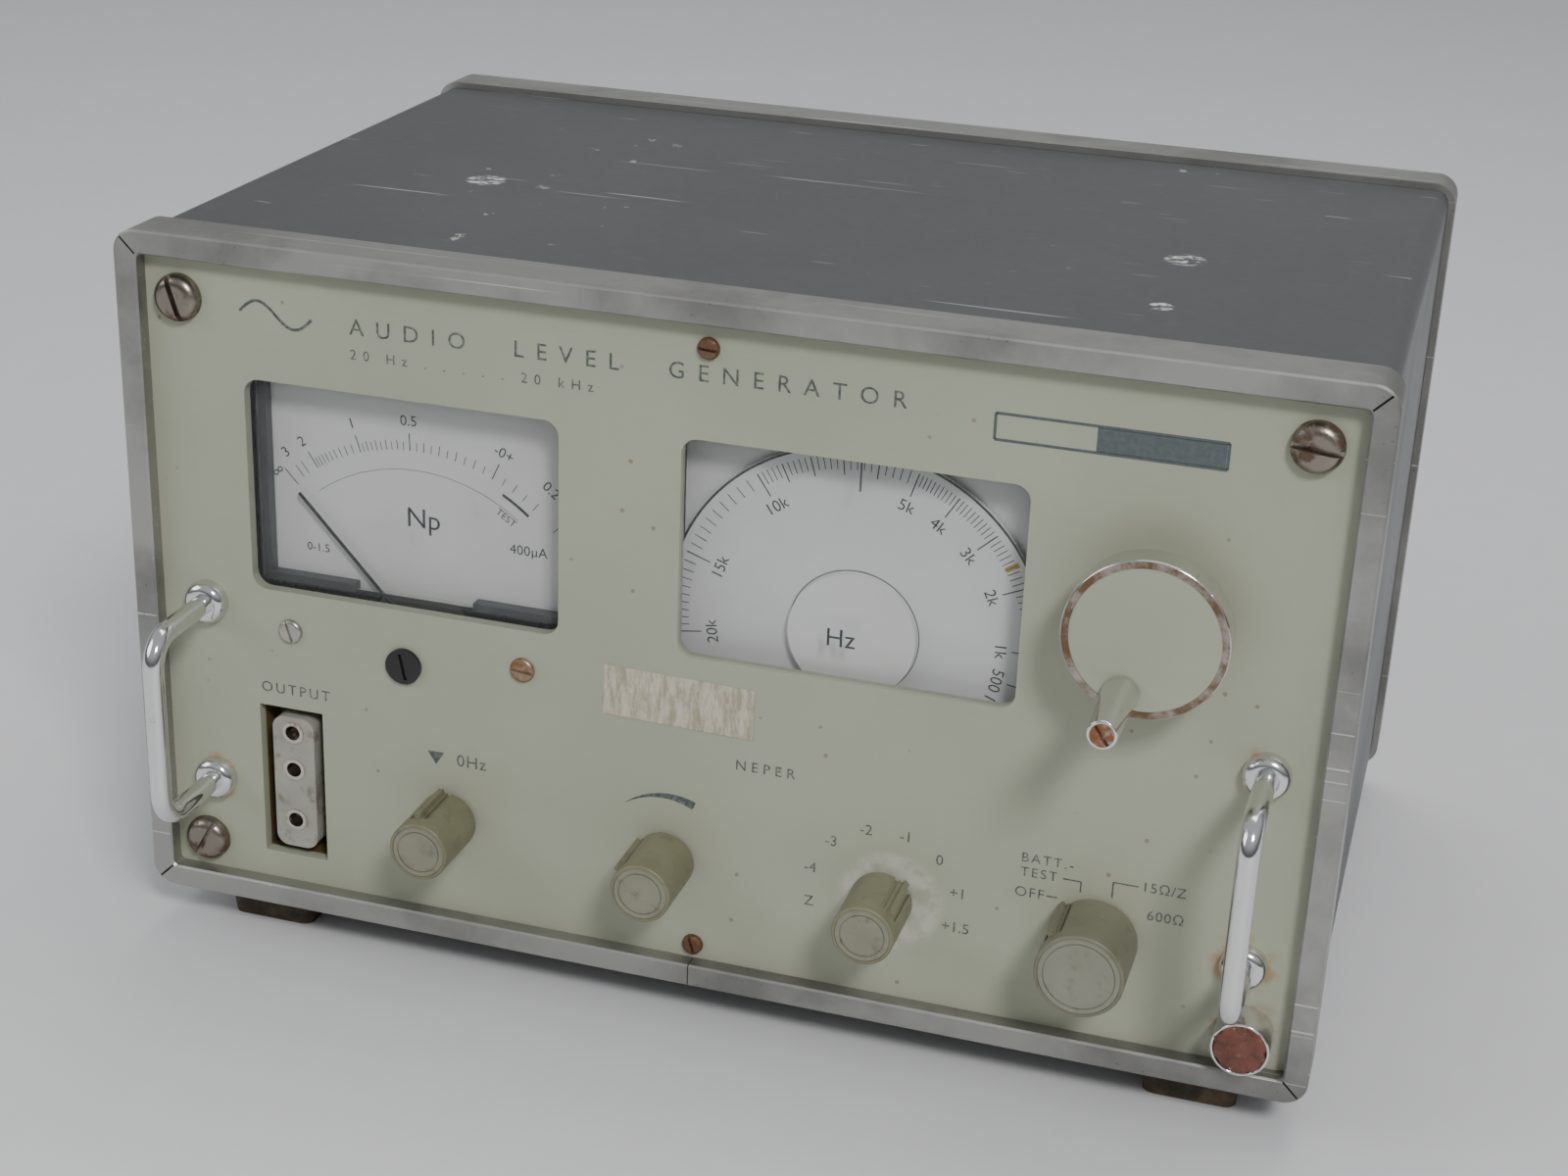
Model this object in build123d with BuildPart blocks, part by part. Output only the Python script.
# Battery-run level generator, 20 Hz to 20 kHz: a carrying case with a front panel of controls.
# Millimetres, +X right as seen from the front, +Y towards the rear, +Z up, origin under the middle.
from build123d import *
from math import acos, atan2, cos, degrees, hypot, pi, radians, sin
import os

os.makedirs("parts", exist_ok=True)

# Case
case_width = 305
case_height = 179
case_depth = 205
foot_height = 11.5
foot_size = 25
foot_centre_x = 124
foot_inset_y = 22.5
frame_depth = 14
frame_wall = 1.8
flange_width = 6
recess = 4.4
outer_radius = 6
sleeve_wall = 1.2
sleeve_tuck = 6.4
panel_thickness = 3
slit = 0.5
touch = 0.05

# Front controls: x from the middle, height above the frame's lower edge
knob_height = 32.6
zero_x = -68.6
level_x = -10
attenuator_x = 46
function_x = 98.2
small_knob_radius = 7.7
large_knob_radius = 10.75
knob_length = 19
knob_gap = 0.8
dial_x = 33.2
dial_z = 98
dial_radius = 47
crank_x = 105.2
crank_z = 117.9
crank_radius = 19
crank_front = 16
crank_thickness = 7.5
grip_radius_from_shaft = 14
grip_angle = 252.6
grip_length = 22
grip_gap = 0.6
grip_screw_proud = 0.3
shaft_radius = 3
running = 0.05

# Window openings: left, right, bottom and top edges
meter_left, meter_right, meter_bottom, meter_top = -121.3, -38.9, 88.5, 143.8
dial_left, dial_right, dial_bottom, dial_top = -8.3, 74.7, 88.6, 144.2
window_radius = 4
socket_left, socket_right, socket_bottom, socket_top = -121, -103.3, 13.6, 56.1

# Meter movement
needle_x = -80.1
needle_z = 79
needle_length = 46
needle_rest = 133
adjuster_z = 73.7

# Handles
handle_x = 134
handle_low = 33
handle_high = 83
handle_rod_radius = 2.6
handle_reach = 28.5
handle_bend = 8
ferrule_radius = 5.6

# Tuning gears, all of one tooth size
gear_module = 0.8
dial_teeth = 100
idler_wheel_teeth = 50
pinion_teeth = 20
gear_face = 3

# Depth of each layer behind the panel's front face
disc_depth = 8
dial_gear_depth = 11
idler_wheel_depth = 15.5
plate_depth = 20.5
plate_thickness = 2
capacitor_depth = 34
capacitor_length = 44

# Places that follow from the sizes above
grip_start = crank_front + grip_gap
grip_end = grip_start + grip_length
front_reach = grip_end + grip_screw_proud - recess
front_y = -(case_depth - front_reach) / 2
panel_y = front_y + recess
rear_y = front_y + case_depth
rear_panel_y = rear_y - recess
inner_width = case_width - 2 * frame_wall
inner_height = case_height - 2 * frame_wall
middle_z = foot_height + case_height / 2


def facing(x, z, reach=0.0):
    """Plane that looks at the user, `reach` in front of the panel face and z above the frame."""
    return Plane(
        origin=(x, panel_y - reach, foot_height + z),
        x_dir=(1, 0, 0),
        z_dir=(0, -1, 0),
    )


def finish(part, name):
    """Label a finished piece and write it to its own file."""
    part.label = name
    export_step(part, f"parts/{name}.step")


# ---------------------------------------------------------------- case

def case_frame(name, face_y, inward):
    """Bent aluminium frame with a flange at its outer face and mitre slits in the corners."""
    outer_face = Plane(origin=(0, face_y, middle_z), x_dir=(1, 0, 0), z_dir=(0, -1, 0))
    with BuildPart() as frame:
        with BuildSketch(outer_face):
            RectangleRounded(case_width, case_height, outer_radius)
            RectangleRounded(
                case_width - 2 * flange_width,
                case_height - 2 * flange_width,
                1.5,
                mode=Mode.SUBTRACT,
            )
        extrude(amount=-inward * recess)
        with BuildSketch(outer_face.offset(-inward * recess)):
            RectangleRounded(case_width, case_height, outer_radius)
            RectangleRounded(
                inner_width, inner_height, outer_radius - frame_wall, mode=Mode.SUBTRACT
            )
        extrude(amount=-inward * (frame_depth - recess))
        rim = frame.faces().filter_by(Axis.Y).sort_by(Axis.Y)
        outer_edges = (rim[0] if inward > 0 else rim[-1]).edges()
        chamfer(outer_edges, 0.5)
        with BuildSketch(outer_face):
            corner_x = case_width / 2 - flange_width / 2 - 1
            corner_z = case_height / 2 - flange_width / 2 - 1
            for side in (-1, 1):
                for height in (-1, 1):
                    with Locations((side * corner_x, height * corner_z)):
                        Rectangle(slit, 5.4, rotation=-45 * side * height)
        extrude(amount=-inward * recess, mode=Mode.SUBTRACT)
        with BuildSketch(Plane.XY.offset(foot_height - 1)):
            with Locations((-2, face_y + inward * frame_depth / 2)):
                Rectangle(slit / 2, frame_depth + 2)
        extrude(amount=flange_width + 2, mode=Mode.SUBTRACT)
    finish(frame.part, name)


case_frame("front_frame", front_y, 1)
case_frame("rear_frame", rear_y, -1)

foot_places = [
    (side * foot_centre_x, end_y)
    for side in (-1, 1)
    for end_y in (front_y + foot_inset_y, rear_y - foot_inset_y)
]
foot_screw_radius = 1.6
sleeve_front = front_y + frame_depth - sleeve_tuck
sleeve_length = case_depth - 2 * (frame_depth - sleeve_tuck)
with BuildPart() as case_sleeve:
    with BuildSketch(Plane(origin=(0, sleeve_front, middle_z), x_dir=(1, 0, 0), z_dir=(0, -1, 0))):
        RectangleRounded(inner_width - 2 * touch, inner_height - 2 * touch, outer_radius - frame_wall)
        RectangleRounded(
            inner_width - 2 * sleeve_wall,
            inner_height - 2 * sleeve_wall,
            outer_radius - frame_wall - sleeve_wall,
            mode=Mode.SUBTRACT,
        )
    extrude(amount=-sleeve_length)
    with BuildSketch(Plane.XY.offset(foot_height)):
        with Locations(*foot_places):
            Circle(foot_screw_radius)
    extrude(amount=foot_height, mode=Mode.SUBTRACT)
finish(case_sleeve.part, "case_sleeve")

left_corner_x = -137.5
right_corner_x = 136
corner_screw_low = 14.4
corner_screw_high = 162.4
corner_screw_radius = 3
corner_columns = (left_corner_x, right_corner_x)
small_screw_radius = 1.6
middle_screw_x = -2.2
middle_screw_low = 9.9
middle_screw_high = 166.6
meter_screw_x = (-111.2, -48.2)
meter_screw_z = 78
panel_width = inner_width - 2 * touch
panel_height = inner_height - 2 * touch
knob_places = {"zero": zero_x, "level": level_x, "attenuator": attenuator_x, "function": function_x}
socket_x = (socket_left + socket_right) / 2
socket_z = (socket_bottom + socket_top) / 2
bushing_radius = 4.8
crank_bush_radius = 6

with BuildPart() as front_panel:
    with BuildSketch(facing(0, case_height / 2)):
        RectangleRounded(panel_width, panel_height, 5)
    extrude(amount=-panel_thickness)
    with BuildSketch(facing(0, 0)):
        with Locations(((meter_left + meter_right) / 2, (meter_bottom + meter_top) / 2)):
            RectangleRounded(meter_right - meter_left, meter_top - meter_bottom, window_radius)
        with Locations(((dial_left + dial_right) / 2, (dial_bottom + dial_top) / 2)):
            RectangleRounded(dial_right - dial_left, dial_top - dial_bottom, window_radius)
        with Locations((socket_x, socket_z)):
            Rectangle(socket_right - socket_left, socket_top - socket_bottom)
        with Locations(*[(x, knob_height) for x in knob_places.values()]):
            Circle(bushing_radius)
        with Locations((crank_x, crank_z)):
            Circle(crank_bush_radius)
        with Locations((needle_x, adjuster_z)):
            Circle(2.5 + running)
        with Locations(*[(x, meter_screw_z) for x in meter_screw_x]):
            Circle(small_screw_radius)
        with Locations((middle_screw_x, middle_screw_low), (middle_screw_x, middle_screw_high)):
            Circle(small_screw_radius)
        with Locations(*[(x, z) for x in corner_columns for z in (corner_screw_low, corner_screw_high)]):
            Circle(corner_screw_radius)
        with GridLocations(2 * handle_x, 0, 2, 1):
            with Locations((0, handle_low), (0, handle_high)):
                Circle(handle_rod_radius)
    extrude(amount=-panel_thickness, mode=Mode.SUBTRACT)
finish(front_panel.part, "front_panel")

rear_screw_x = 137.5
with BuildPart() as rear_panel:
    rear_face = Plane(origin=(0, rear_panel_y, middle_z), x_dir=(-1, 0, 0), z_dir=(0, 1, 0))
    with BuildSketch(rear_face):
        RectangleRounded(panel_width, panel_height, 5)
    extrude(amount=-panel_thickness)
    with BuildSketch(rear_face):
        with GridLocations(2 * rear_screw_x, corner_screw_high - corner_screw_low, 2, 2):
            Circle(corner_screw_radius)
    extrude(amount=-panel_thickness, mode=Mode.SUBTRACT)
finish(rear_panel.part, "rear_panel")


def screw_group(name, planes, head_radius, head_height, shank_radius, shank_length, slot_width):
    """A node of round-headed screws, each with its slot at its own angle."""
    with BuildPart() as group:
        for plane in planes:
            with BuildSketch(plane):
                Circle(head_radius)
            extrude(amount=head_height)
            with BuildSketch(plane):
                Circle(shank_radius)
            extrude(amount=-shank_length)
        head_ends = group.faces().filter_by(Axis.Y).filter_by(
            lambda face: abs(face.area - pi * head_radius**2) < 0.1
        )
        fillet(head_ends.edges(), head_height * 0.75)
        for number, plane in enumerate(planes):
            with BuildSketch(plane.offset(head_height)):
                Rectangle(slot_width, head_radius * 2 + 1, rotation=18 + 67 * number)
            extrude(amount=-head_height * 0.45, mode=Mode.SUBTRACT)
    finish(group.part, name)


screw_group(
    "corner_screws",
    [
        facing(left_corner_x, corner_screw_high),
        facing(right_corner_x, corner_screw_high),
        facing(left_corner_x, corner_screw_low),
    ],
    6, 3.6, corner_screw_radius, 12, 1.4,
)
screw_group(
    "panel_screws",
    [facing(middle_screw_x, middle_screw_low), facing(middle_screw_x, middle_screw_high)],
    2.7, 1.5, small_screw_radius, 8, 0.7,
)
screw_group(
    "meter_screws",
    [facing(x, meter_screw_z) for x in meter_screw_x],
    3.2, 1.2, small_screw_radius, 6, 0.8,
)
screw_group(
    "rear_panel_screws",
    [
        Plane(origin=(x, rear_panel_y, foot_height + z), x_dir=(-1, 0, 0), z_dir=(0, 1, 0))
        for x in (-rear_screw_x, rear_screw_x)
        for z in (corner_screw_low + 1.1, corner_screw_high + 1.1)
    ],
    6, 3.6, corner_screw_radius, 12, 1.4,
)

seal_cup_radius = 7
seal_cup_z = corner_screw_low + 0.7
seal_cup_length = 9
with BuildPart() as seal_cup:
    with BuildSketch(facing(right_corner_x, seal_cup_z)):
        Circle(seal_cup_radius)
    extrude(amount=seal_cup_length)
    with BuildSketch(facing(right_corner_x, seal_cup_z, seal_cup_length)):
        Circle(seal_cup_radius - 0.7)
    extrude(amount=1 - seal_cup_length, mode=Mode.SUBTRACT)
    fillet(seal_cup.edges().filter_by(GeomType.CIRCLE).group_by(Axis.Y)[0], 0.3)
finish(seal_cup.part, "seal_cup")

with BuildPart() as seal_wax:
    with BuildSketch(facing(right_corner_x, seal_cup_z, 1)):
        Circle(seal_cup_radius - 0.7)
    extrude(amount=seal_cup_length - 2)
finish(seal_wax.part, "seal_wax")

foot_top = foot_height + frame_wall + touch
foot_boss_radius = 6
foot_screw_start = 2
upward = (Align.CENTER, Align.CENTER, Align.MIN)
with BuildPart() as feet:
    for foot_place in foot_places:
        with BuildSketch(Plane.XY):
            with Locations(foot_place):
                RectangleRounded(foot_size - 2, foot_size - 2, 3)
        with BuildSketch(Plane.XY.offset(foot_height)):
            with Locations(foot_place):
                RectangleRounded(foot_size, foot_size, 3)
        loft()
    with Locations(*[(x, y, foot_height) for x, y in foot_places]):
        Cylinder(foot_boss_radius, foot_top - foot_height, align=upward)
    with Locations(*[(x, y, 0) for x, y in foot_places]):
        Cylinder(3.2, 4, align=upward, mode=Mode.SUBTRACT)
        Cylinder(foot_screw_radius, foot_top, align=upward, mode=Mode.SUBTRACT)
finish(feet.part, "feet")

with BuildPart() as foot_screws:
    with Locations(*[(x, y, foot_screw_start) for x, y in foot_places]):
        Cylinder(2.9, 2, align=upward)
        Cylinder(foot_screw_radius, foot_top + 0.5, align=upward)
finish(foot_screws.part, "foot_screws")

# ---------------------------------------------------------------- handles

def handle_path(side):
    """Centre line of one bent handle rod, from the lower fixing to the upper one."""
    inner_y = panel_y + panel_thickness + 1
    outer_y = panel_y - handle_reach
    low = foot_height + handle_low
    high = foot_height + handle_high
    with BuildLine(Plane.YZ.offset(side * handle_x), mode=Mode.PRIVATE) as path:
        line = Polyline((inner_y, low), (outer_y, low), (outer_y, high), (inner_y, high))
        fillet(line.vertices().sort_by(Axis.Y)[:2], handle_bend)
    return path.wires()[0]


with BuildPart() as handles:
    for side in (-1, 1):
        rod_path = handle_path(side)
        with BuildSketch(Plane(origin=rod_path @ 0, z_dir=rod_path % 0)) as rod_section:
            Circle(handle_rod_radius)
        sweep(sections=rod_section.sketch, path=rod_path)
finish(handles.part, "handles")

with BuildPart() as handle_ferrules:
    for side in (-1, 1):
        for height in (handle_low, handle_high):
            with BuildSketch(facing(side * handle_x, height)):
                Circle(ferrule_radius)
                Circle(handle_rod_radius, mode=Mode.SUBTRACT)
            extrude(amount=4.2)
    fillet(
        handle_ferrules.edges().filter_by(GeomType.CIRCLE).filter_by(
            lambda edge: edge.radius > handle_rod_radius + 1
        ).group_by(Axis.Y)[0],
        2.4,
    )
finish(handle_ferrules.part, "handle_ferrules")

# ---------------------------------------------------------------- knobs

set_screw_reach = 6
set_screw_depth = 2.5
knob_rest = {"zero": 101, "level": 150, "attenuator": 45, "function": 135}


def control_knob(name, x, radius, turn):
    """Cylindrical knob with a pointer ridge along its side, its front cap and its shaft."""
    bore_depth = knob_length - 5
    with BuildPart() as knob:
        with BuildSketch(facing(x, knob_height, knob_gap)):
            Circle(radius)
        extrude(amount=knob_length - knob_gap)
        fillet(knob.edges().filter_by(GeomType.CIRCLE).group_by(Axis.Y)[0], 0.5)
        ridge_x = (radius - 0.2) * cos(radians(turn))
        ridge_z = (radius - 0.2) * sin(radians(turn))
        groove_turn = degrees(2.2 / radius)
        groove_radius = radius + 0.15
        with BuildSketch(facing(x, knob_height, knob_gap)):
            for side in (-1, 1):
                angle = radians(turn + side * groove_turn)
                with Locations((groove_radius * cos(angle), groove_radius * sin(angle))):
                    Rectangle(1.6, 1.1, rotation=degrees(angle))
        extrude(amount=knob_length * 0.76, mode=Mode.SUBTRACT)
        with BuildSketch(facing(x, knob_height, knob_gap)):
            with Locations((ridge_x, ridge_z)):
                Rectangle(2.6, 1.5, rotation=turn)
        extrude(amount=knob_length * 0.78)
        with BuildSketch(facing(x, knob_height, knob_length)):
            Circle(radius - 0.9)
        extrude(amount=-0.8, mode=Mode.SUBTRACT)
        with BuildSketch(facing(x, knob_height, knob_gap)):
            Circle(shaft_radius)
        extrude(amount=bore_depth, mode=Mode.SUBTRACT)
        back = radians(turn + 180)
        set_screw_plane = Plane(
            origin=(
                x + radius * cos(back),
                panel_y - set_screw_reach,
                foot_height + knob_height + radius * sin(back),
            ),
            z_dir=(cos(back), 0, sin(back)),
        )
        with BuildSketch(set_screw_plane):
            Circle(1.4)
        extrude(amount=-set_screw_depth, mode=Mode.SUBTRACT)
    finish(knob.part, f"{name}_knob")

    with BuildPart() as cap:
        with BuildSketch(facing(x, knob_height, knob_length - 0.8)):
            Circle(radius - 0.98)
        extrude(amount=0.65)
        with BuildSketch(facing(x, knob_height, knob_length - 0.15)):
            Circle(radius - 2.1)
            Circle(radius - 2.4, mode=Mode.SUBTRACT)
        extrude(amount=-0.25, mode=Mode.SUBTRACT)
    finish(cap.part, f"{name}_knob_cap")

    with BuildPart() as shaft:
        with BuildSketch(facing(x, knob_height, knob_gap + bore_depth - 0.2)):
            Circle(shaft_radius)
        extrude(amount=-(knob_gap + bore_depth - 0.2 + panel_thickness + 14))
    finish(shaft.part, f"{name}_shaft")


def control_body(name, x, radius, length):
    """Potentiometer or switch behind the panel, with its bushing and solder tags."""
    tag_count = 3 if "pot" in name else 10
    with BuildPart() as body:
        with BuildSketch(facing(x, knob_height, -panel_thickness)):
            Circle(radius)
        extrude(amount=-length)
        with BuildSketch(facing(x, knob_height, -panel_thickness)):
            Circle(bushing_radius - running)
        extrude(amount=panel_thickness)
        with BuildSketch(facing(x, knob_height, -panel_thickness - length * 0.6)):
            with PolarLocations(radius + 1.5, tag_count, start_angle=-90, angular_range=tag_count * 24):
                Rectangle(5, 2)
        extrude(amount=-0.8)
        with BuildSketch(facing(x, knob_height)):
            Circle(shaft_radius + running)
        extrude(amount=-(panel_thickness + 14.5), mode=Mode.SUBTRACT)
    finish(body.part, name)


for knob_name, knob_x in knob_places.items():
    is_large = knob_name == "function"
    knob_radius = large_knob_radius if is_large else small_knob_radius
    control_knob(knob_name, knob_x, knob_radius, knob_rest[knob_name])

control_body("zero_potentiometer", zero_x, 12, 18)
control_body("level_potentiometer", level_x, 12, 18)
control_body("attenuator_switch", attenuator_x, 14, 34)
control_body("function_switch", function_x, 14, 26)


# ---------------------------------------------------------------- output socket

contact_heights = (49.3, 38.8, 24.2)
contact_x = -111.8
contact_radius = 2.9
contact_bore = 2.0
socket_pocket = 11
socket_wall = 3
insert_width = 11.6
insert_depth = panel_thickness + socket_pocket - socket_wall
contact_proud = 0.4
contact_floor = 1.5
insert_height = 37.4

with BuildPart() as socket_housing:
    with BuildSketch(facing(socket_x, socket_z, -panel_thickness)):
        Rectangle(socket_right - socket_left + 2 * socket_wall, socket_top - socket_bottom + 6)
    extrude(amount=-socket_pocket)
    with BuildSketch(facing(socket_x, socket_z, -panel_thickness)):
        Rectangle(socket_right - socket_left, socket_top - socket_bottom)
    extrude(amount=socket_wall - socket_pocket, mode=Mode.SUBTRACT)
finish(socket_housing.part, "socket_housing")

with BuildPart() as output_socket:
    with BuildSketch(facing(contact_x, socket_z)):
        RectangleRounded(insert_width, insert_height, 3.4)
    extrude(amount=-insert_depth)
    with BuildSketch(facing(contact_x, 0)):
        with Locations(*[(0, height) for height in contact_heights]):
            Circle(contact_radius)
    extrude(amount=-insert_depth, mode=Mode.SUBTRACT)
finish(output_socket.part, "output_socket")

with BuildPart() as socket_contacts:
    with BuildSketch(facing(contact_x, 0, contact_proud)):
        with Locations(*[(0, height) for height in contact_heights]):
            Circle(contact_radius)
    extrude(amount=-(insert_depth + contact_proud))
    with BuildSketch(facing(contact_x, 0, contact_proud)):
        with Locations(*[(0, height) for height in contact_heights]):
            Circle(contact_bore)
    extrude(amount=contact_floor - insert_depth - contact_proud, mode=Mode.SUBTRACT)
finish(socket_contacts.part, "socket_contacts")

with BuildPart() as paper_label:
    with BuildSketch(facing(-7.6, 76.3)):
        Rectangle(38.5, 13.2, rotation=-1)
    extrude(amount=0.2)
finish(paper_label.part, "paper_label")

# ---------------------------------------------------------------- level meter

meter_x = (meter_left + meter_right) / 2
meter_z = (meter_bottom + meter_top) / 2
meter_width = meter_right - meter_left
meter_height = meter_top - meter_bottom
cover_depth = 6
housing_width = 92
housing_bottom = 62
housing_top = 149
housing_depth = 34
scale_depth = 9.5

with BuildPart() as meter_cover:
    with BuildSketch(facing(meter_x, meter_z, 0.6)):
        RectangleRounded(meter_width - 0.2, meter_height - 0.2, window_radius - 0.1)
    extrude(amount=-(cover_depth + 0.6))
    with BuildSketch(facing(meter_x, meter_z, 0.6 - 2)):
        RectangleRounded(meter_width - 4, meter_height - 4, window_radius - 2)
    extrude(amount=-cover_depth, mode=Mode.SUBTRACT)
    chamfer(meter_cover.faces().filter_by(Axis.Y).sort_by(Axis.Y)[0].edges(), 0.6)
finish(meter_cover.part, "meter_cover")

with BuildPart() as meter_housing:
    housing_plane = facing(meter_x, (housing_bottom + housing_top) / 2, -panel_thickness)
    with BuildSketch(housing_plane):
        RectangleRounded(housing_width, housing_top - housing_bottom, 5)
    extrude(amount=-housing_depth)
    with BuildSketch(housing_plane):
        RectangleRounded(housing_width - 4, housing_top - housing_bottom - 4, 3)
    extrude(amount=2 - housing_depth, mode=Mode.SUBTRACT)
    with BuildSketch(housing_plane):
        with Locations(*[(x - meter_x, meter_screw_z - (housing_bottom + housing_top) / 2) for x in meter_screw_x]):
            Circle(4)
    extrude(amount=1 - housing_depth)
    with BuildSketch(housing_plane):
        with Locations(*[(x - meter_x, meter_screw_z - (housing_bottom + housing_top) / 2) for x in meter_screw_x]):
            Circle(small_screw_radius)
    extrude(amount=-4, mode=Mode.SUBTRACT)
finish(meter_housing.part, "meter_housing")

with BuildPart() as meter_scale_plate:
    with BuildSketch(facing(meter_x, meter_z, -scale_depth)):
        Rectangle(meter_width + 4, meter_height + 1)
    extrude(amount=-1)
finish(meter_scale_plate.part, "meter_scale_plate")

movement_radius = 13
with BuildPart() as meter_movement:
    with BuildSketch(facing(needle_x, needle_z, -scale_depth - 1.5)):
        Circle(movement_radius)
        Circle(5, mode=Mode.SUBTRACT)
    extrude(amount=-16)
    with BuildSketch(facing(needle_x, needle_z, -scale_depth - 17.5)):
        Circle(movement_radius)
    extrude(amount=-(panel_thickness + housing_depth - 2 - scale_depth - 17.5))
finish(meter_movement.part, "meter_movement")

needle_depth = 7.4
with BuildPart() as meter_needle:
    with BuildSketch(facing(needle_x, needle_z, -needle_depth)):
        Circle(2.2)
        direction = radians(needle_rest)
        half = needle_length / 2
        with Locations((half * cos(direction), half * sin(direction))):
            Rectangle(needle_length, 0.6, rotation=needle_rest)
        with Locations((-4 * cos(direction), -4 * sin(direction))):
            Rectangle(8, 1.6, rotation=needle_rest)
    extrude(amount=-0.6)
    with BuildSketch(facing(needle_x, needle_z, -needle_depth - 0.6)):
        Circle(0.8)
    extrude(amount=-4)
    with BuildSketch(facing(needle_x, needle_z, -scale_depth - 2.2)):
        Rectangle(7, 5.6, rotation=needle_rest)
    extrude(amount=-13)
finish(meter_needle.part, "meter_needle")

with BuildPart() as meter_zero_adjuster:
    with BuildSketch(facing(needle_x, adjuster_z)):
        Circle(4.7)
    extrude(amount=1.1)
    with BuildSketch(facing(needle_x, adjuster_z)):
        Circle(2.5)
    extrude(amount=-5)
    with BuildSketch(facing(needle_x, adjuster_z, 1.1)):
        Rectangle(1, 7, rotation=12)
    extrude(amount=-0.7, mode=Mode.SUBTRACT)
finish(meter_zero_adjuster.part, "meter_zero_adjuster")

# ---------------------------------------------------------------- frequency dial and its gears

window_x = (dial_left + dial_right) / 2
window_z = (dial_bottom + dial_top) / 2
with BuildPart() as dial_window:
    with BuildSketch(facing(window_x, window_z, -1.2)):
        RectangleRounded(dial_right - dial_left - 0.2, dial_top - dial_bottom - 0.2, window_radius - 0.1)
    extrude(amount=-(panel_thickness - 1.2))
    with BuildSketch(facing(window_x, window_z, -panel_thickness)):
        RectangleRounded(dial_right - dial_left + 6, dial_top - dial_bottom + 6, window_radius)
    extrude(amount=-1.2)
finish(dial_window.part, "dial_window")

hub_radius = 15.7
hub_front = 5.6
disc_thickness = 1.2
with BuildPart() as dial_disc:
    with BuildSketch(facing(dial_x, dial_z, -disc_depth)):
        Circle(dial_radius)
        Circle(6, mode=Mode.SUBTRACT)
    extrude(amount=-disc_thickness)
finish(dial_disc.part, "dial_disc")

with BuildPart() as dial_hub:
    with BuildSketch(facing(dial_x, dial_z, -hub_front)):
        Circle(hub_radius)
    extrude(amount=-(disc_depth - hub_front))
    with BuildSketch(facing(dial_x, dial_z, -disc_depth)):
        Circle(6)
    extrude(amount=-(dial_gear_depth - disc_depth))
    with BuildSketch(facing(dial_x, dial_z, -dial_gear_depth)):
        Circle(shaft_radius)
    extrude(amount=dial_gear_depth - hub_front - 1, mode=Mode.SUBTRACT)
finish(dial_hub.part, "dial_hub")

shaft_end_depth = capacitor_depth + capacitor_length + 3
with BuildPart() as dial_shaft:
    with BuildSketch(facing(dial_x, dial_z, -hub_front - 1)):
        Circle(shaft_radius)
    extrude(amount=-(shaft_end_depth - hub_front - 1))
finish(dial_shaft.part, "dial_shaft")


def gear_outline(teeth, first_tooth):
    """Closed outline of straight-sided gear teeth, the first one centred on an angle in degrees."""
    pitch_radius = gear_module * teeth / 2
    root = pitch_radius - 1.25 * gear_module
    tip = pitch_radius + 0.9 * gear_module
    pitch_angle = 2 * pi / teeth
    corners = []
    for tooth in range(teeth):
        middle = radians(first_tooth) + tooth * pitch_angle
        for radius, share in ((root, -0.29), (tip, -0.1), (tip, 0.1), (root, 0.29)):
            angle = middle + share * pitch_angle
            corners.append((radius * cos(angle), radius * sin(angle)))
    Polyline(*corners, close=True)


# The idler's shaft stands where both of its centre distances are met.
dial_to_idler = gear_module * (dial_teeth + pinion_teeth) / 2
idler_to_crank = gear_module * (idler_wheel_teeth + pinion_teeth) / 2
dial_to_crank = hypot(crank_x - dial_x, crank_z - dial_z)
crank_direction = atan2(crank_z - dial_z, crank_x - dial_x)
idler_offset = acos(
    (dial_to_idler**2 + dial_to_crank**2 - idler_to_crank**2) / (2 * dial_to_idler * dial_to_crank)
)
idler_direction = crank_direction - idler_offset
idler_x = dial_x + dial_to_idler * cos(idler_direction)
idler_z = dial_z + dial_to_idler * sin(idler_direction)
dial_mesh = degrees(idler_direction)
crank_mesh = degrees(atan2(crank_z - idler_z, crank_x - idler_x))
half_tooth = 180 / pinion_teeth

with BuildPart() as dial_gear:
    with BuildSketch(facing(dial_x, dial_z, -dial_gear_depth)):
        with BuildLine():
            gear_outline(dial_teeth, dial_mesh)
        make_face()
        Circle(shaft_radius, mode=Mode.SUBTRACT)
    extrude(amount=-gear_face)
finish(dial_gear.part, "dial_gear")

with BuildPart() as idler_gear:
    with BuildSketch(facing(idler_x, idler_z, -dial_gear_depth + 0.4)):
        with BuildLine():
            gear_outline(pinion_teeth, dial_mesh + 180 + half_tooth)
        make_face()
    extrude(amount=-(idler_wheel_depth - dial_gear_depth + 0.4))
    with BuildSketch(facing(idler_x, idler_z, -idler_wheel_depth)):
        with BuildLine():
            gear_outline(idler_wheel_teeth, crank_mesh)
        make_face()
    extrude(amount=-gear_face)
    with BuildSketch(facing(idler_x, idler_z, -idler_wheel_depth)):
        Circle(shaft_radius)
    extrude(amount=-(plate_depth + plate_thickness + 2.5 - idler_wheel_depth))
finish(idler_gear.part, "idler_gear")

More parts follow.
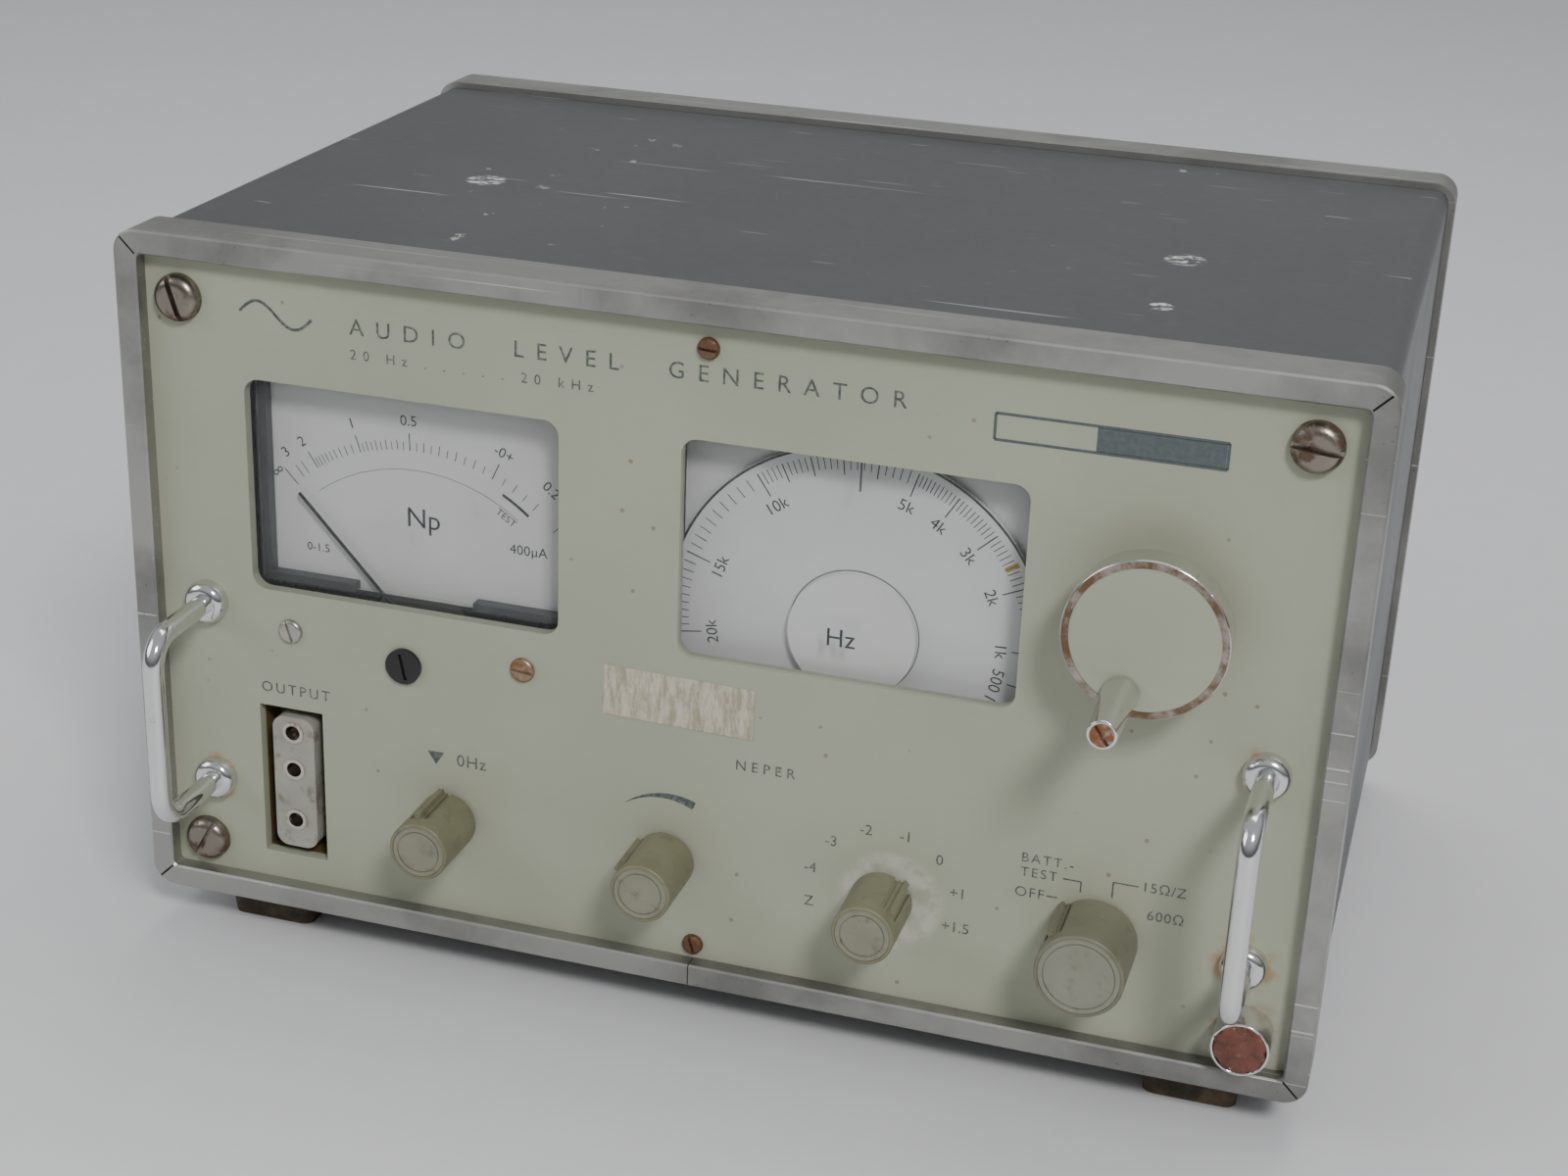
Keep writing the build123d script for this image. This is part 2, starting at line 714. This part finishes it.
crank_bore = 12
with BuildPart() as crank_shaft:
    with BuildSketch(facing(crank_x, crank_z, crank_bore)):
        Circle(shaft_radius)
    extrude(amount=-(crank_bore + plate_depth + plate_thickness + 2.5))
    with BuildSketch(facing(crank_x, crank_z, -idler_wheel_depth + 0.4)):
        with BuildLine():
            gear_outline(pinion_teeth, crank_mesh + 180 + half_tooth)
        make_face()
    extrude(amount=-gear_face - 0.6)
finish(crank_shaft.part, "crank_shaft")

bush_radius = 5
gear_places = ((dial_x, dial_z), (idler_x, idler_z), (crank_x, crank_z))
with BuildPart() as gear_plate:
    with BuildSketch(facing(54, 104.5, -plate_depth)):
        RectangleRounded(152, 103, 6)
    extrude(amount=-plate_thickness)
    with BuildSketch(facing(0, 0, -plate_depth)):
        with Locations(*gear_places):
            Circle(bush_radius)
    extrude(amount=-plate_thickness, mode=Mode.SUBTRACT)
    with BuildSketch(facing(54, 104.5, -plate_depth)):
        with GridLocations(140, 91, 2, 2):
            Circle(3.5)
    extrude(amount=plate_depth - panel_thickness)
finish(gear_plate.part, "gear_plate")

with BuildPart() as shaft_bushes:
    with BuildSketch(facing(0, 0, -plate_depth + 0.7)):
        with Locations(*gear_places):
            Circle(bush_radius)
            Circle(shaft_radius + running, mode=Mode.SUBTRACT)
    extrude(amount=-(plate_thickness + 1.4))
    with BuildSketch(facing(crank_x, crank_z, 1.4)):
        Circle(crank_bush_radius)
        Circle(shaft_radius + running, mode=Mode.SUBTRACT)
    extrude(amount=-(1.4 + panel_thickness + 3))
finish(shaft_bushes.part, "shaft_bushes")

# ---------------------------------------------------------------- tuning crank

rim_width = 1.9
inlay_depth = 1
grip_x = crank_x + grip_radius_from_shaft * cos(radians(grip_angle))
grip_z = crank_z + grip_radius_from_shaft * sin(radians(grip_angle))
pin_radius = 1.5
with BuildPart() as crank_rim:
    with BuildSketch(facing(crank_x, crank_z, crank_front - crank_thickness)):
        Circle(crank_radius)
    extrude(amount=crank_thickness)
    fillet(crank_rim.edges().filter_by(GeomType.CIRCLE), 0.6)
    with BuildSketch(facing(crank_x, crank_z, 2)):
        Circle(8)
    extrude(amount=crank_front - crank_thickness - 2)
    with BuildSketch(facing(crank_x, crank_z, crank_front)):
        Circle(crank_radius - rim_width)
    extrude(amount=-inlay_depth, mode=Mode.SUBTRACT)
    with BuildSketch(facing(crank_x, crank_z, 2)):
        Circle(shaft_radius)
    extrude(amount=crank_bore - 2, mode=Mode.SUBTRACT)
    with BuildSketch(facing(grip_x, grip_z, crank_front)):
        Circle(pin_radius)
    extrude(amount=-5, mode=Mode.SUBTRACT)
finish(crank_rim.part, "crank_rim")

with BuildPart() as crank_inlay:
    with BuildSketch(facing(crank_x, crank_z, crank_front - inlay_depth)):
        Circle(crank_radius - rim_width - touch)
    extrude(amount=inlay_depth - 0.15)
    with BuildSketch(facing(grip_x, grip_z, crank_front)):
        Circle(pin_radius)
    extrude(amount=-inlay_depth, mode=Mode.SUBTRACT)
finish(crank_inlay.part, "crank_inlay")

grip_wide = 4.2
head_recess = 1.4
screw_head_radius = 2.7
with BuildPart() as crank_grip:
    with BuildSketch(facing(grip_x, grip_z, grip_start)):
        Circle(grip_wide)
    extrude(amount=grip_length, taper=2)
    fillet(crank_grip.edges().filter_by(GeomType.CIRCLE).group_by(Axis.Y)[0], 0.4)
    with BuildSketch(facing(grip_x, grip_z, grip_start)):
        Circle(pin_radius + running)
    extrude(amount=grip_length, mode=Mode.SUBTRACT)
    with BuildSketch(facing(grip_x, grip_z, grip_end)):
        Circle(screw_head_radius + running)
    extrude(amount=-head_recess, mode=Mode.SUBTRACT)
finish(crank_grip.part, "crank_grip")

with BuildPart() as grip_screw:
    with BuildSketch(facing(grip_x, grip_z, grip_end - head_recess + 0.1)):
        Circle(screw_head_radius)
    extrude(amount=head_recess - 0.1 + grip_screw_proud)
    with BuildSketch(facing(grip_x, grip_z, grip_end - head_recess + 0.1)):
        Circle(pin_radius)
    extrude(amount=-(grip_end - head_recess + 0.1 - crank_front + 5))
    with BuildSketch(facing(grip_x, grip_z, grip_end + grip_screw_proud)):
        Rectangle(0.8, 7, rotation=35)
    extrude(amount=-0.8, mode=Mode.SUBTRACT)
finish(grip_screw.part, "grip_screw")

# ---------------------------------------------------------------- tuning capacitor

plate_count = 6
plate_pitch = (capacitor_length - 2) / (plate_count + 1)
stator_radius = 32
rotor_radius = 26
stator_inner = 7
rod_place = stator_radius - 3
with BuildPart() as capacitor_stator:
    with BuildSketch(facing(dial_x, dial_z, -capacitor_depth)):
        RectangleRounded(68, 68, 4)
        Circle(shaft_radius + running, mode=Mode.SUBTRACT)
    extrude(amount=-2)
    with BuildSketch(facing(dial_x, dial_z, -capacitor_depth - capacitor_length)):
        RectangleRounded(68, 68, 4)
        Circle(shaft_radius + running, mode=Mode.SUBTRACT)
    extrude(amount=-2)
    for number in range(plate_count):
        with BuildSketch(facing(dial_x, dial_z, -capacitor_depth - plate_pitch * (number + 1))):
            Circle(stator_radius)
            Circle(stator_inner, mode=Mode.SUBTRACT)
            with Locations((0, -stator_radius)):
                Rectangle(2 * stator_radius, 2 * stator_radius, mode=Mode.SUBTRACT)
        extrude(amount=-1)
    with BuildSketch(facing(dial_x, dial_z, -capacitor_depth)):
        with PolarLocations(rod_place, 3, start_angle=20, angular_range=140, endpoint=True):
            Circle(1.6)
    extrude(amount=-capacitor_length - 1)
    with BuildSketch(facing(dial_x, dial_z, -plate_depth - plate_thickness)):
        with GridLocations(56, 56, 2, 2):
            Circle(3)
    extrude(amount=-(capacitor_depth - plate_depth - plate_thickness))
finish(capacitor_stator.part, "capacitor_stator")

with BuildPart() as capacitor_rotor:
    rotor_start = capacitor_depth + 3
    rotor_length = capacitor_length - 4
    with BuildSketch(facing(dial_x, dial_z, -rotor_start)):
        Circle(5)
        Circle(shaft_radius, mode=Mode.SUBTRACT)
    extrude(amount=-rotor_length)
    for number in range(plate_count - 1):
        depth = capacitor_depth + plate_pitch * (number + 1.5)
        with BuildSketch(facing(dial_x, dial_z, -depth)):
            Circle(rotor_radius)
            Circle(shaft_radius, mode=Mode.SUBTRACT)
            with Locations((-rotor_radius, 0)):
                Rectangle(2 * rotor_radius, 2 * rotor_radius, mode=Mode.SUBTRACT)
            Circle(5)
            Circle(shaft_radius, mode=Mode.SUBTRACT)
        extrude(amount=-1)
finish(capacitor_rotor.part, "capacitor_rotor")

# ---------------------------------------------------------------- inside the case

inside_depth = case_depth - 2 * recess - panel_thickness
rail_x = 140
rail_low = 45
rail_high = 59
with BuildPart() as chassis_rails:
    with BuildSketch(facing(0, (rail_low + rail_high) / 2, -panel_thickness)):
        with GridLocations(2 * rail_x, 0, 2, 1):
            Rectangle(6, rail_high - rail_low)
    extrude(amount=-(inside_depth - panel_thickness))
finish(chassis_rails.part, "chassis_rails")

board_start = 84
board_length = 96
with BuildPart() as circuit_board:
    with BuildSketch(facing(0, rail_high + 0.8, -board_start)):
        Rectangle(2 * rail_x + 6, 1.6)
    extrude(amount=-board_length)
    with BuildSketch(Plane.XY.offset(foot_height + rail_high + 1.6)):
        with Locations((-70, panel_y + board_start + 48)):
            with GridLocations(44, 30, 3, 3):
                Circle(7)
    extrude(amount=16)
    with BuildSketch(Plane.XY.offset(foot_height + rail_high + 1.6)):
        with Locations((78, panel_y + board_start + 48)):
            with GridLocations(46, 44, 2, 2):
                Rectangle(32, 26)
    extrude(amount=28)
finish(circuit_board.part, "circuit_board")

floor = frame_wall + sleeve_wall
cell_radius = 16.5
cell_length = 60.5
box_start = 58
box_length = 2 * cell_length + 8
box_width = 6 * cell_radius + 7
box_height = 36
with BuildPart() as battery_box:
    with BuildSketch(facing(0, floor + box_height / 2, -box_start)):
        Rectangle(box_width, box_height)
    extrude(amount=-box_length)
    with BuildSketch(Plane.XY.offset(foot_height + floor + box_height)):
        with Locations((0, panel_y + box_start + box_length / 2)):
            Rectangle(box_width - 4, box_length - 4)
    extrude(amount=2 - box_height, mode=Mode.SUBTRACT)
finish(battery_box.part, "battery_box")

with BuildPart() as batteries:
    for row in (0, 1):
        start = box_start + 3.4 + row * (cell_length + 0.6)
        with BuildSketch(facing(0, floor + 2 + cell_radius, -start)):
            with GridLocations(2 * cell_radius + 0.6, 0, 3, 1):
                Circle(cell_radius)
        extrude(amount=-(cell_length - 1.5))
        with BuildSketch(facing(0, floor + 2 + cell_radius, -start)):
            with GridLocations(2 * cell_radius + 0.6, 0, 3, 1):
                Circle(4.5)
        extrude(amount=1.3)
finish(batteries.part, "batteries")
